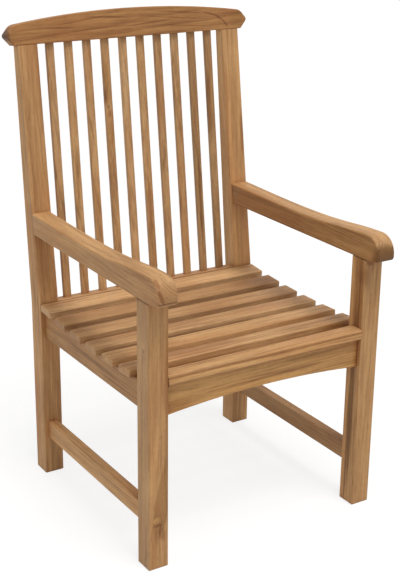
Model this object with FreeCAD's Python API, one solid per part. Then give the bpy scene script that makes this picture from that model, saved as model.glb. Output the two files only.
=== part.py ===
import FreeCAD, Part
import math
import os

V = FreeCAD.Vector
ACROSS = V(1, 0, 0)
BACKWARDS = V(0, 1, 0)
UPWARDS = V(0, 0, 1)

# A high-backed slatted garden armchair in solid wood, joined with mortises and tenons.
# X runs across the chair, Y from its front to its back, and Z up from the floor.
# The origin lies on the floor, in the middle of the overall width and depth.
# Left and right are as seen by someone who stands in front of the chair.
# All lengths are in millimetres and all angles in degrees.

# Frame and legs
frame_width = 600.0
leg_spacing = 513.5
leg_width = 48.0
front_leg_depth = 48.0
rear_leg_depth = 50.0
leg_edge_radius = 2.5
foot_chamfer = 2.0

# Seat slats, laid on a shallow dish that the side rails carry
seat_low_height = 434.0
seat_low_setback = 255.0
seat_dish_radius = 2500.0
seat_slat_count = 6
seat_slat_width = 50.0
seat_slat_thickness = 17.0
seat_slat_edge_radius = 2.5
seat_front_gap = 31.5
seat_rear_gap = 2.0

# Front seat slat, between the front legs
front_slat_rise = 13.5
front_slat_thickness = 23.5
front_slat_width = 38.0
front_slat_reach = 2.0
front_slat_nose_radius = 8.0
front_slat_end_gap = 0.3

# Rails and stretchers, centred in the legs that they join
rail_thickness = 24.0
rail_edge_radius = 2.0
side_rail_waist_depth = 57.0
stretcher_height = 43.0
stretcher_clear_height = 95.0
apron_end_depth = 72.0
apron_middle_depth = 57.5

# Back: the rear legs lean back, and slightly towards each other, from a bend just above the seat
back_rake = 7.46
back_toe_in = 0.43
bend_rise = 6.0
bend_radius = 150.0
bend_side_radius = 1500.0
crest_underside_height = 1040.5
back_rail_rise = 10.5
back_rail_height = 70.0
back_rail_setback = 8.5

# Crest rail, measured along its slope, and as deep as the tops of the rear legs
crest_depth = 28.0
crest_middle_height = 67.5
crest_shoulder_height = 45.5
crest_shoulder_overhang = 4.0
crest_shoulder_radius = 25.0
crest_tip_height = 22.0
crest_tip_overhang = 24.5
crest_tip_radius = 8.0
crest_foot_overhang = 5.0
crest_edge_radius = 2.5

# Back slats, between the lower back rail and the crest rail
back_slat_count = 10
back_slat_width = 18.5
back_slat_thickness = 11.0
back_slat_edge_radius = 1.5
back_slat_leg_gap = 25.5
back_slat_rear_wall = 2.0

# Armrests
arm_width = 46.0
arm_underside_height = 610.0
arm_rear_thickness = 51.0
arm_waist_thickness = 46.5
arm_neck_thickness = 52.0
arm_crown_thickness = 60.0
arm_overhang = 40.0
arm_chin_rise = 5.0
arm_chin_radius = 9.0
arm_nose_flat = 5.0
arm_edge_radius = 4.0
arm_waist_share = 0.6
arm_neck_share = 0.24

# Tenons and the room round them
tenon_thickness = 10.0
tenon_shoulder = 7.0
rail_tenon_length = 24.0
cross_tenon_length = 15.0
arm_leg_tenon_side = 24.0
arm_leg_tenon_length = 30.0
arm_post_tenon_length = 20.0
crest_tenon_width = 24.0
crest_tenon_length = 28.0
back_slat_shoulder = 1.5
back_slat_tenon_length = 14.0
joint_clearance = 0.15

# Pegs that lock the tenons, and dowels under the seat slats
peg_diameter = 6.0
peg_length = 36.0
peg_setback = 5.5
peg_spacing = 24.0
dowel_diameter = 8.0
dowel_length = 28.0
dowel_depth_in_slat = 10.0
front_slat_dowel_count = 3
front_slat_dowel_setback = 52.0
pin_clearance = 0.05

# How far a cutting or joining shape runs past the face that it crosses
overrun = 5.0

# Two places this close count as one, and so do two directions whose product is more than the share
same_place = 0.01
same_direction_share = 0.999

# Places worked out from the sizes above
rake = math.radians(back_rake)
toe_in = math.radians(back_toe_in)
bend_height = seat_low_height + bend_rise
post_length = (crest_underside_height - bend_height) / math.cos(rake)
crest_base = bend_height + post_length
crest_rounding = crest_edge_radius * (math.cos(rake) + math.sin(rake) - 1)
back_reach = (post_length + crest_middle_height) * math.sin(rake) + crest_depth * math.cos(rake)
overall_depth = arm_overhang + leg_spacing + back_reach - crest_rounding
front_y = arm_overhang - overall_depth / 2
front_leg_rear_y = front_y + front_leg_depth
front_leg_middle_y = front_y + front_leg_depth / 2
rear_y = front_y + leg_spacing
outer_x = -frame_width / 2
inner_x = outer_x + leg_width
leg_middle_x = (outer_x + inner_x) / 2
rail_x = (leg_middle_x - rail_thickness / 2, leg_middle_x + rail_thickness / 2)
bend_point = V(0, rear_y, bend_height)


# Shapes
def box(x_range, y_range, z_range):
    """Return a plain block between the given limits."""
    low = V(x_range[0], y_range[0], z_range[0])
    size = V(x_range[1], y_range[1], z_range[1]) - low
    return Part.makeBox(size.x, size.y, size.z, low)


def wider(limits, room):
    """Return the limits of a block with the same room added on every side."""
    return [(low - room, high + room) for low, high in limits]


def about(middle, size):
    """Return the limits of a size that is centred on a place."""
    return middle - size / 2, middle + size / 2


def pin(start, end, diameter):
    """Return a round pin between two places."""
    return Part.makeCylinder(diameter / 2, (end - start).Length, start, end - start)


def mirrored(shape):
    """Return the right-hand twin of a left-hand shape."""
    return shape.mirror(V(0, 0, 0), ACROSS)


def both_sides(shapes):
    """Return left-hand shapes together with their right-hand twins."""
    return shapes + [mirrored(shape) for shape in shapes]


def corner_arc(before, corner, after, radius):
    """Return the start, middle and end of the arc that rounds a corner of an outline."""
    if radius == 0:
        return corner, corner, corner
    back = (before - corner).normalize()
    onward = (after - corner).normalize()
    half_angle = back.getAngle(onward) / 2
    inward = (back + onward).normalize()
    run = radius / math.tan(half_angle)
    rise = radius / math.sin(half_angle) - radius
    return corner + back * run, corner + inward * rise, corner + onward * run


def rounded_face(corners):
    """Return a face from the (place, radius) corners of its outline, each rounded by its radius."""
    points = [place for place, radius in corners]
    bends = []
    for index, (place, radius) in enumerate(corners):
        following = points[(index + 1) % len(points)]
        bends.append(corner_arc(points[index - 1], place, following, radius))
    edges = []
    for index, (start, middle, end) in enumerate(bends):
        edges.append(Part.makeLine(bends[index - 1][2], start))
        if start != end:
            edges.append(Part.Arc(start, middle, end).toShape())
    return Part.Face(Part.Wire(edges))


def board(face, x_range):
    """Return a side face made into a board between two places across the chair."""
    solid = face.extrude(V(x_range[1] - x_range[0], 0, 0))
    solid.translate(V(x_range[0], 0, 0))
    return solid


def edges_along(shape, direction):
    """Return the straight edges of a shape that run along a direction."""
    straight = [edge for edge in shape.Edges if isinstance(edge.Curve, Part.Line)]
    return [edge for edge in straight if abs(edge.tangentAt(0).dot(direction)) > same_direction_share]


def edges_across(shape, direction):
    """Return the edges of a shape that lie in planes square to a direction."""
    found = []
    for edge in shape.Edges:
        first, last = edge.ParameterRange
        places = [edge.valueAt(at).dot(direction) for at in (first, (first + last) / 2, last)]
        if max(places) - min(places) < same_place:
            found.append(edge)
    return found


def steep_edges(shape):
    """Return the edges of a shape that rise more than they run across or back."""
    boxes = [(edge, edge.BoundBox) for edge in shape.Edges]
    return [edge for edge, limits in boxes if limits.ZLength > max(limits.XLength, limits.YLength)]


def with_chamfered_foot(leg):
    """Return a leg with a small chamfer round its foot."""
    rim = [edge for edge in leg.Edges if edge.BoundBox.ZMax < foot_chamfer]
    return leg.makeChamfer(foot_chamfer, rim)


def leaned(shape):
    """Return an upright shape leaned back about the bend in the rear legs."""
    leaning = shape.copy()
    leaning.rotate(bend_point, ACROSS, -back_rake)
    return leaning


def post_front_y(height):
    """Return how far back the front face of a rear leg stands at a height above the bend."""
    return rear_y + (height - bend_height) * math.tan(rake)


def post_shift(height):
    """Return how far inwards a rear leg stands at a height above the bend."""
    return (height - bend_height) * math.tan(toe_in)


# Seat slats: where each one lies on the dish
def dish_height(y):
    """Return the height of the seat's surface at a depth."""
    offset = y - front_y - seat_low_setback
    return seat_low_height + seat_dish_radius - math.sqrt(seat_dish_radius ** 2 - offset ** 2)


def seat_slat_feet(index):
    """Return the lower front and lower rear corner of a seat slat, counted from the back."""
    span = rear_y - seat_rear_gap - front_leg_rear_y - seat_front_gap
    pitch = (span - seat_slat_width) / (seat_slat_count - 1)
    rear = rear_y - seat_rear_gap - index * pitch
    front = rear - seat_slat_width
    low_front = V(0, front, dish_height(front) - seat_slat_thickness)
    low_rear = V(0, rear, dish_height(rear) - seat_slat_thickness)
    return low_front, low_rear


def seat_slat_up(index):
    """Return the direction that a seat slat's upper face looks in."""
    low_front, low_rear = seat_slat_feet(index)
    along = low_rear - low_front
    return V(0, -along.z, along.y).normalize()


# Heights that follow the seat
side_rail_rear_top = seat_slat_feet(0)[1].z
side_rail_front_top = seat_slat_feet(seat_slat_count - 1)[0].z
side_rail_bottom = seat_low_height - seat_slat_thickness - side_rail_waist_depth
apron_top = seat_low_height + front_slat_rise - front_slat_thickness
back_rail_top = seat_low_height + back_rail_rise
back_rail_y = (rear_y + back_rail_setback, rear_y + back_rail_setback + rail_thickness)
back_rail_z = (back_rail_top - back_rail_height, back_rail_top)
stretcher_z = (stretcher_clear_height, stretcher_clear_height + stretcher_height)


# Tenons of the left-hand side, each as the limits of a block
def front_leg_tenon(z_low, z_high):
    """Return the tenon by which a rail enters the rear face of the front leg."""
    y_range = (front_leg_rear_y - rail_tenon_length, front_leg_rear_y)
    z_range = (z_low + tenon_shoulder, z_high - tenon_shoulder)
    return about(leg_middle_x, tenon_thickness), y_range, z_range


def rear_leg_tenon(z_low, z_high):
    """Return the tenon by which a rail enters the front face of the rear leg."""
    y_range = (rear_y, rear_y + rail_tenon_length)
    z_range = (z_low + tenon_shoulder, z_high - tenon_shoulder)
    return about(leg_middle_x, tenon_thickness), y_range, z_range


def cross_tenon(middle_y, z_low, z_high):
    """Return the tenon by which a cross rail enters the inner face of a leg."""
    x_range = (inner_x - cross_tenon_length, inner_x)
    z_range = (z_low + tenon_shoulder, z_high - tenon_shoulder)
    return x_range, about(middle_y, tenon_thickness), z_range


def arm_post_tenon():
    """Return the tenon by which the armrest enters the leaning face of the rear leg."""
    z_low = arm_underside_height + tenon_shoulder
    z_high = arm_underside_height + arm_rear_thickness - tenon_shoulder
    y_range = (post_front_y(z_low), post_front_y(z_low) + arm_post_tenon_length)
    return about(leg_middle_x, tenon_thickness), y_range, (z_low, z_high)


side_rail_tenons = (
    front_leg_tenon(side_rail_bottom, side_rail_front_top),
    rear_leg_tenon(side_rail_bottom, side_rail_rear_top),
)
stretcher_tenons = (front_leg_tenon(*stretcher_z), rear_leg_tenon(*stretcher_z))
apron_tenon = cross_tenon(front_leg_middle_y, apron_top - apron_end_depth, apron_top)
back_rail_tenon = cross_tenon(sum(back_rail_y) / 2, *back_rail_z)
arm_leg_tenon = (
    about(leg_middle_x, arm_leg_tenon_side),
    about(front_leg_middle_y, arm_leg_tenon_side),
    (arm_underside_height, arm_underside_height + arm_leg_tenon_length),
)
# The tenon on top of the rear leg, as it stands before it leans back
crest_tenon = (
    about(leg_middle_x + post_shift(crest_underside_height), crest_tenon_width),
    about(rear_y + crest_depth / 2, tenon_thickness),
    (crest_base, crest_base + crest_tenon_length),
)


def with_mortises(shape, tenons):
    """Return a piece with the holes for some tenons."""
    return shape.cut([box(*wider(limits, joint_clearance)) for limits in tenons])


# Pegs, as (outer end, inner end) of each, driven from faces that the seat and rails hide
def side_rail_peg_lines(y):
    """Return the two pegs through a tenon of the left side rail."""
    middle = (side_rail_bottom + side_rail_front_top) / 2
    lines = []
    for height in about(middle, peg_spacing):
        lines.append((V(inner_x, y, height), V(inner_x - peg_length, y, height)))
    return lines


def cross_peg_line(y, inward, limits):
    """Return the peg through the left tenon of a cross rail, driven from the rear of the leg."""
    start = V(inner_x - peg_setback, y, sum(limits[2]) / 2)
    return start, start - BACKWARDS * inward


front_side_peg_lines = side_rail_peg_lines(front_leg_rear_y - peg_setback)
rear_side_peg_lines = side_rail_peg_lines(rear_y + peg_setback)
apron_peg_line = cross_peg_line(front_leg_rear_y, peg_length, apron_tenon)
back_rail_peg_line = cross_peg_line(rear_y + rear_leg_depth, peg_length, back_rail_tenon)


def peg_hole(line):
    """Return the hole for a peg, open at the face that it is driven from."""
    start, end = line
    mouth = start + (start - end).normalize() * overrun
    return pin(mouth, end, peg_diameter + 2 * pin_clearance)


def pegs(lines):
    """Return the pegs along left-hand lines and their right-hand twins, as one group."""
    return Part.makeCompound(both_sides([pin(start, end, peg_diameter) for start, end in lines]))


# Dowels, as (lower end, upper end) of each
def seat_slat_dowel_line(index):
    """Return the left dowel of a seat slat."""
    up = seat_slat_up(index)
    low_front, low_rear = seat_slat_feet(index)
    top = (low_front + low_rear) * 0.5 + ACROSS * leg_middle_x + up * dowel_depth_in_slat
    return top - up * dowel_length, top


def front_slat_dowel_line(index):
    """Return one of the dowels of the front seat slat, counted from the left."""
    first = inner_x + front_slat_dowel_setback
    x = first - index * 2 * first / (front_slat_dowel_count - 1)
    top = V(x, front_leg_middle_y, apron_top + dowel_depth_in_slat)
    return top - UPWARDS * dowel_length, top


seat_slat_dowel_lines = [seat_slat_dowel_line(index) for index in range(seat_slat_count)]
front_slat_dowel_lines = [front_slat_dowel_line(index) for index in range(front_slat_dowel_count)]


def dowels(lines):
    """Return the dowels along some lines."""
    return [pin(start, end, dowel_diameter) for start, end in lines]


def dowel_holes(lines):
    """Return the holes for the dowels along some lines, each as long as its dowel."""
    return [pin(start, end, dowel_diameter + 2 * pin_clearance) for start, end in lines]


# Back slats: each follows one straight line from the lower back rail to the crest rail
def back_slat_front(index, height):
    """Return the middle of a back slat's front face at a height."""
    first = inner_x + post_shift(height) + back_slat_leg_gap + back_slat_width / 2
    x = first - index * 2 * first / (back_slat_count - 1)
    y_low = back_rail_y[1] - back_slat_rear_wall - back_slat_thickness
    y_high = post_front_y(crest_underside_height) + (crest_depth - back_slat_thickness) / 2
    share = (height - back_rail_top) / (crest_underside_height - back_rail_top)
    return V(x, y_low + (y_high - y_low) * share, height)


def back_slat_bar(index, z_low, z_high, inset):
    """Return a stretch of a back slat, made smaller all round by an inset."""
    low = back_slat_front(index, z_low)
    high = back_slat_front(index, z_high)
    x_low, x_high = about(low.x, back_slat_width - 2 * inset)
    front = low.y + inset
    rear = low.y + back_slat_thickness - inset
    front_left = V(x_low, front, z_low)
    front_right = V(x_high, front, z_low)
    rear_right = V(x_high, rear, z_low)
    rear_left = V(x_low, rear, z_low)
    section = Part.makePolygon([front_left, front_right, rear_right, rear_left, front_left])
    return Part.Face(section).extrude(high - low)


def back_slat_core(index, room):
    """Return the thinner bar inside a back slat whose ends are its tenons."""
    reach = back_slat_tenon_length + room
    z_low = back_rail_top - reach
    z_high = crest_underside_height + reach
    return back_slat_bar(index, z_low, z_high, back_slat_shoulder - room)


def back_slat_mortises():
    """Return the holes for the tenons of all back slats."""
    return [back_slat_core(index, joint_clearance) for index in range(back_slat_count)]


# Pieces
def front_leg():
    """Left front leg: a square post with a stub tenon that goes up into the armrest."""
    post = box((outer_x, inner_x), (front_y, front_leg_rear_y), (0, arm_underside_height))
    post = post.makeFillet(leg_edge_radius, edges_along(post, UPWARDS))
    post = with_chamfered_foot(post).fuse(box(*arm_leg_tenon)).removeSplitter()
    post = with_mortises(post, [side_rail_tenons[0], stretcher_tenons[0], apron_tenon])
    return post.cut([peg_hole(line) for line in front_side_peg_lines + [apron_peg_line]])


def rear_leg_side():
    """Return the rear leg as seen from the side: it leans back and tapers above the bend."""
    top_front = leaned(Part.Vertex(0, rear_y, crest_base)).Point
    top_rear = leaned(Part.Vertex(0, rear_y + crest_depth, crest_base)).Point
    foot_rear = V(0, rear_y + rear_leg_depth, 0)
    bend_rear = foot_rear + UPWARDS * bend_height
    corners = [
        (V(0, rear_y, 0), 0),
        (bend_point, bend_radius),
        (top_front, 0),
        (top_rear, 0),
        (bend_rear, bend_radius),
        (foot_rear, 0),
    ]
    return rounded_face(corners)


def rear_leg_front():
    """Return the rear leg as seen from the front: it leans inwards above the bend."""
    top = crest_underside_height + overrun
    shift = post_shift(top)
    corners = [
        (V(outer_x, rear_y, 0), 0),
        (V(outer_x, rear_y, bend_height), bend_side_radius),
        (V(outer_x + shift, rear_y, top), 0),
        (V(inner_x + shift, rear_y, top), 0),
        (V(inner_x, rear_y, bend_height), bend_side_radius),
        (V(inner_x, rear_y, 0), 0),
    ]
    return rounded_face(corners)


def rear_leg():
    """Left rear leg: one piece from the floor to the crest rail, bent back above the seat."""
    side = board(rear_leg_side(), (outer_x, -outer_x))
    front = rear_leg_front().extrude(BACKWARDS * (rear_leg_depth + back_reach))
    post = side.common(front)
    post = post.makeFillet(leg_edge_radius, steep_edges(post))
    post = with_chamfered_foot(post).fuse(leaned(box(*crest_tenon)))
    tenons = [side_rail_tenons[1], stretcher_tenons[1], back_rail_tenon, arm_post_tenon()]
    post = with_mortises(post, tenons)
    return post.cut([peg_hole(line) for line in rear_side_peg_lines + [back_rail_peg_line]])


def arm_face():
    """Return the side face of the armrest: hollow along its top, with a rounded nose and chin."""
    low = arm_underside_height
    nose_y = front_y - arm_overhang
    nose_radius = arm_crown_thickness - arm_nose_flat - arm_chin_radius - arm_chin_rise
    brow = V(0, nose_y + nose_radius, low + arm_crown_thickness)
    start = V(0, post_front_y(low + arm_rear_thickness), low + arm_rear_thickness)
    length = start.y - brow.y
    waist = V(0, brow.y + length * arm_waist_share, low + arm_waist_thickness)
    neck = V(0, brow.y + length * arm_neck_share, low + arm_neck_thickness)
    leaving = waist - start
    arriving = BACKWARDS * -length
    top = Part.BSplineCurve()
    top.interpolate(Points=[start, waist, neck, brow], InitialTangent=leaving, FinalTangent=arriving)
    nose_centre = brow - UPWARDS * nose_radius
    nose_middle = nose_centre + (UPWARDS - BACKWARDS).normalize() * nose_radius
    nose_end = nose_centre - BACKWARDS * nose_radius
    chin_centre = V(0, nose_y + arm_chin_radius, low + arm_chin_rise + arm_chin_radius)
    chin_start = chin_centre - BACKWARDS * arm_chin_radius
    chin_middle = chin_centre - (BACKWARDS + UPWARDS).normalize() * arm_chin_radius
    chin_end = chin_centre - UPWARDS * arm_chin_radius
    throat = V(0, front_y, low)
    rear_low = V(0, post_front_y(low), low)
    edges = [
        top.toShape(),
        Part.Arc(brow, nose_middle, nose_end).toShape(),
        Part.makeLine(nose_end, chin_start),
        Part.Arc(chin_start, chin_middle, chin_end).toShape(),
        Part.makeLine(chin_end, throat),
        Part.makeLine(throat, rear_low),
        Part.makeLine(rear_low, start),
    ]
    return Part.Face(Part.Wire(edges))


def armrest():
    """Left armrest, with eased long edges and a tenon that enters the rear leg."""
    arm = board(arm_face(), about(leg_middle_x, arm_width))
    rear_end = post_front_y(arm_underside_height) - arm_edge_radius
    rims = [edge for edge in edges_across(arm, ACROSS) if edge.BoundBox.YMin < rear_end]
    arm = arm.makeFillet(arm_edge_radius, rims)
    x_range, y_range, z_range = arm_post_tenon()
    arm = arm.fuse(box(x_range, (y_range[0] - overrun, y_range[1]), z_range)).removeSplitter()
    return with_mortises(arm, [arm_leg_tenon])


def crest_outline():
    """Return the front face of the upright crest rail, with sharp ends."""
    end_x = frame_width / 2
    foot = V(end_x + crest_foot_overhang, rear_y, crest_base)
    tip = V(end_x + crest_tip_overhang, rear_y, crest_base + crest_tip_height)
    shoulder = V(end_x + crest_shoulder_overhang, rear_y, crest_base + crest_shoulder_height)
    middle = V(0, rear_y, crest_base + crest_middle_height)
    right_corners = (foot, tip, shoulder)
    left_foot, left_tip, left_shoulder = [V(-place.x, place.y, place.z) for place in right_corners]
    edges = [
        Part.makeLine(left_foot, foot),
        Part.makeLine(foot, tip),
        Part.makeLine(tip, shoulder),
        Part.Arc(shoulder, middle, left_shoulder).toShape(),
        Part.makeLine(left_shoulder, left_tip),
        Part.makeLine(left_tip, left_foot),
    ]
    return Part.Face(Part.Wire(edges))


def corner_edges(rail):
    """Return the edges from front to back of the crest rail, in pairs from its foot upwards."""
    return sorted(edges_along(rail, BACKWARDS), key=lambda edge: edge.CenterOfMass.z)


def crest_rail():
    """Crest rail: arched along its top, with rounded and undercut ends past the rear legs."""
    rail = crest_outline().extrude(BACKWARDS * crest_depth)
    rail = rail.makeFillet(crest_shoulder_radius, corner_edges(rail)[-2:])
    rail = rail.makeFillet(crest_tip_radius, corner_edges(rail)[2:4])
    rail = rail.makeFillet(crest_edge_radius, edges_across(rail, BACKWARDS))
    tenon = box(*wider(crest_tenon, joint_clearance))
    rail = leaned(rail.cut(both_sides([tenon])))
    return rail.cut(back_slat_mortises())


def lower_back_rail():
    """Lower back rail: holds the lower ends of the back slats."""
    rail = box((inner_x, -inner_x), back_rail_y, back_rail_z)
    rail = rail.makeFillet(rail_edge_radius, edges_along(rail, ACROSS))
    rail = rail.fuse(both_sides([box(*back_rail_tenon)]))
    return rail.cut(both_sides([peg_hole(back_rail_peg_line)]) + back_slat_mortises())


def back_slat(index):
    """A back slat: straight, with a tenon at each end and a sloping upper shoulder."""
    high = crest_underside_height + crest_depth
    slat = back_slat_bar(index, back_rail_top, high, 0)
    along = back_slat_front(index, high) - back_slat_front(index, back_rail_top)
    slat = slat.makeFillet(back_slat_edge_radius, edges_along(slat, along.normalize()))
    crest_space = box(
        (outer_x, -outer_x),
        (rear_y - overrun, rear_y + crest_depth + overrun),
        (crest_base, crest_base + crest_middle_height),
    )
    return slat.cut(leaned(crest_space)).fuse(back_slat_core(index, 0)).removeSplitter()


def seat_slat(index):
    """A seat slat: flat, across both side rails, and as wide as the frame."""
    low_front, low_rear = seat_slat_feet(index)
    rise = seat_slat_up(index) * seat_slat_thickness
    section = Part.makePolygon([low_front, low_rear, low_rear + rise, low_front + rise, low_front])
    slat = board(Part.Face(section), (outer_x, -outer_x))
    slat = slat.makeFillet(seat_slat_edge_radius, slat.Edges)
    return slat.cut(both_sides(dowel_holes([seat_slat_dowel_lines[index]])))


def front_seat_slat():
    """Front seat slat: between the front legs, with a rounded nose, on top of the apron."""
    nose_y = front_y - front_slat_reach
    top = apron_top + front_slat_thickness
    corners = [
        (V(0, nose_y, apron_top), seat_slat_edge_radius),
        (V(0, nose_y, top), front_slat_nose_radius),
        (V(0, nose_y + front_slat_width, top), seat_slat_edge_radius),
        (V(0, nose_y + front_slat_width, apron_top), seat_slat_edge_radius),
    ]
    slat = board(rounded_face(corners), (inner_x + front_slat_end_gap, -inner_x - front_slat_end_gap))
    return slat.cut(dowel_holes(front_slat_dowel_lines))


def front_apron():
    """Front apron: arched along its lower edge, between the front legs."""
    y_range = about(front_leg_middle_y, rail_thickness)
    top_left = V(inner_x, y_range[0], apron_top)
    top_right = V(-inner_x, y_range[0], apron_top)
    low_left = top_left - UPWARDS * apron_end_depth
    low_right = top_right - UPWARDS * apron_end_depth
    arch = V(0, y_range[0], apron_top - apron_middle_depth)
    edges = [
        Part.makeLine(top_left, top_right),
        Part.makeLine(top_right, low_right),
        Part.Arc(low_right, arch, low_left).toShape(),
        Part.makeLine(low_left, top_left),
    ]
    apron = Part.Face(Part.Wire(edges)).extrude(BACKWARDS * rail_thickness)
    rims = [edge for edge in edges_across(apron, BACKWARDS) if edge.BoundBox.XLength > rail_thickness]
    apron = apron.makeFillet(rail_edge_radius, rims)
    apron = apron.fuse(both_sides([box(*apron_tenon)]))
    return apron.cut(both_sides([peg_hole(apron_peg_line)]) + dowel_holes(front_slat_dowel_lines))


def side_seat_rail():
    """Left side rail: its upper edge has a flat seat for each slat, along the dish."""
    corners = [
        V(0, front_leg_rear_y, side_rail_bottom),
        V(0, rear_y, side_rail_bottom),
        V(0, rear_y, side_rail_rear_top),
    ]
    for index in range(seat_slat_count):
        low_front, low_rear = seat_slat_feet(index)
        corners.extend([low_rear, low_front])
    corners.append(V(0, front_leg_rear_y, side_rail_front_top))
    rail = board(Part.Face(Part.makePolygon(corners + corners[:1])), rail_x)
    long_edges = edges_along(rail, BACKWARDS)
    lower = [edge for edge in long_edges if edge.BoundBox.ZMax < side_rail_bottom + tenon_shoulder]
    rail = rail.makeFillet(rail_edge_radius, lower)
    rail = rail.fuse([box(*limits) for limits in side_rail_tenons])
    holes = [peg_hole(line) for line in front_side_peg_lines + rear_side_peg_lines]
    return rail.cut(holes + dowel_holes(seat_slat_dowel_lines))


def side_stretcher():
    """Left stretcher: joins the front and the rear leg near the floor."""
    stretcher = box(rail_x, (front_leg_rear_y, rear_y), stretcher_z)
    stretcher = stretcher.makeFillet(rail_edge_radius, edges_along(stretcher, BACKWARDS))
    return stretcher.fuse([box(*limits) for limits in stretcher_tenons])


def save(name, shape):
    """Write one sub-part to its own file."""
    shape.exportStep("parts/" + name + ".step")


def save_pair(name, shape):
    """Write a left-hand sub-part and its right-hand twin."""
    save(name + "_left", shape)
    save(name + "_right", mirrored(shape))


def main():
    """Build and save every sub-part."""
    os.makedirs("parts", exist_ok=True)
    save_pair("front_leg", front_leg())
    save_pair("rear_leg", rear_leg())
    save_pair("armrest", armrest())
    save_pair("side_seat_rail", side_seat_rail())
    save_pair("side_stretcher", side_stretcher())
    save("crest_rail", crest_rail())
    save("lower_back_rail", lower_back_rail())
    save("front_apron", front_apron())
    save("front_seat_slat", front_seat_slat())
    for index in range(back_slat_count):
        save("back_slat_{:02d}".format(index + 1), back_slat(index))
    for index in range(seat_slat_count):
        save("seat_slat_{:02d}".format(index + 1), seat_slat(index))
    save("side_rail_pegs", pegs(front_side_peg_lines + rear_side_peg_lines))
    save("apron_pegs", pegs([apron_peg_line]))
    save("back_rail_pegs", pegs([back_rail_peg_line]))
    save("seat_slat_dowels", Part.makeCompound(both_sides(dowels(seat_slat_dowel_lines))))
    save("front_slat_dowels", Part.makeCompound(dowels(front_slat_dowel_lines)))


main()
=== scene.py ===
import math
from functools import partial

import bmesh
import bpy
from bpy.props import FloatProperty, FloatVectorProperty, IntProperty, PointerProperty
from mathutils import Matrix, Vector


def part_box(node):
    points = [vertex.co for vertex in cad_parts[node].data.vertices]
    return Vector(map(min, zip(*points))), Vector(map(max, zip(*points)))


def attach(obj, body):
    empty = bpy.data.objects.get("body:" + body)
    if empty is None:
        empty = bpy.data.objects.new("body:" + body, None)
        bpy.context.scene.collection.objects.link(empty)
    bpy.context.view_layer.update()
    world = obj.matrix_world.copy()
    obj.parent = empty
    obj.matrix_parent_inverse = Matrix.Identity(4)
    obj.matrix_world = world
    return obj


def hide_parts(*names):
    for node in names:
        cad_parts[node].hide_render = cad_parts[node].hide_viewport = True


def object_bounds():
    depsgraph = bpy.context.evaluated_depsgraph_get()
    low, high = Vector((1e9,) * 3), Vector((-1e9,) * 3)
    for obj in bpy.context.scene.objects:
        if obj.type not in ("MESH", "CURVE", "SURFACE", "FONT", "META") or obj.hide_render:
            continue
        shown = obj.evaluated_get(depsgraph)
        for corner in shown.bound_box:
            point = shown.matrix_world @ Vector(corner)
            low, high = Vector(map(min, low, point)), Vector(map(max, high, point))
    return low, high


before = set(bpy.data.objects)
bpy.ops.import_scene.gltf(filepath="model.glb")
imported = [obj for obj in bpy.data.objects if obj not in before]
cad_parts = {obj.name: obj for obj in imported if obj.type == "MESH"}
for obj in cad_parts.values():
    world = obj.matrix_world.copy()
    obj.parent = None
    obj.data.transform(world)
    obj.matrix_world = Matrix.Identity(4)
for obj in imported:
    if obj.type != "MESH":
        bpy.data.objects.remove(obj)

bl_info = {
    "name": "Slatted Garden Armchair",
    "version": (1, 0, 0),
    "blender": (4, 5, 0),
    "location": "3D View > Sidebar > Armchair",
    "description": "Finishes a slatted garden armchair in wood and stands it in a plain studio",
    "category": "Object",
}

CAD_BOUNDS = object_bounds()
X_AXIS = Vector((1, 0, 0))
Y_AXIS = Vector((0, 1, 0))
Z_AXIS = Vector((0, 0, 1))

# How often each mark comes in a metre, across the grain and along it, and how fine its detail is
FIGURE = {
    "drift": (3, 1.8, 2),
    "ripple": (26, 6, 2),
    "broad": (9, 1.6, 2),
    "blotch": (22, 9, 3),
    "streak": (85, 4, 3),
    "line": (210, 8, 2),
    "fibre": (480, 26, 2),
    "pore": (1500, 60, 1),
    "warmth": (16, 3, 2),
    "vein": (60, 2.2, 1),
}

# Ranges that values are read in: their low and high ends, and what these become
SUMMER_WOOD = (0.25, 0.93, 0, 1)
AUTUMN_WOOD = (0.93, 1, 1, 0)
YEARLY_CHANGE = (0.3, 0.7, 0.1, 1)
END_GRAIN = (0.45, 0.95, 0, 1)
STREAKS = (0.3, 0.7, -0.5, 0.5)
FIBRES = (0.25, 0.75, -0.5, 0.5)
VEINS = (0.62, 0.72, 0, 1)
PORES = (0.58, 0.70, 0, 1)
WARMTH = (0.42, 0.68, 0, 1)
KNOT_HEART = (0.45, 1.25, 1, 0)
EDGE_BEND = (0.01, 0.12, 0, 1)
EDGE_BREAKS = (0.35, 0.65, 0.4, 1)
UPWARD = (0, 0.7, 0, 1)
OPENNESS = (0.4, 0.9, 1, 0)

# How the grain is drawn
SEED_STEP = (3.1, 5.7, 7.3)
RIPPLE_REACH = 0.0025
GROUND_DEPTH = 0.22
STREAK_WEIGHTS = {"broad": 0.35, "blotch": 0.35, "streak": 0.5, "line": 0.45}
FIBRE_WEIGHT = 0.32
END_RINGS = 1.2
END_STREAKS = -0.7
ROUGHNESS = 0.60
PORE_ROUGHNESS = 0.12
FIBRE_ROUGHNESS = 0.14
FIBRE_HEIGHT = 0.5
RING_HEIGHT = -0.3
RELIEF_STRENGTH = 0.6
ACROSS = (1, 1, 0)
HALF = (0.5, 0.5, 0.5)

# How knots, patches and edges are drawn, where pale upper edges are use and painted highlight,
# dark other edges are soil and painted shade, and dark joints are painted shade
KNOT_SHAPE = (1, 1, 0.55)
KNOT_FADE = -0.12
KNOT_PUSH = -1.6
RAGGEDNESS = 0.6
EDGE_SAMPLES = 6

# How meshes are finished
MERGE_DISTANCE = 1e-6
SHARP_ANGLE = math.radians(40)
EASING_SEGMENTS = 4
ROUND_PROFILE = 0.5
PARALLEL = 0.9

# Node spacing, and where a Mix node takes its amount and its two colours
NODE_SPACING = 180
MIX_INPUTS = (0, 6, 7)
MIX_OUTPUT = 2

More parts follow.
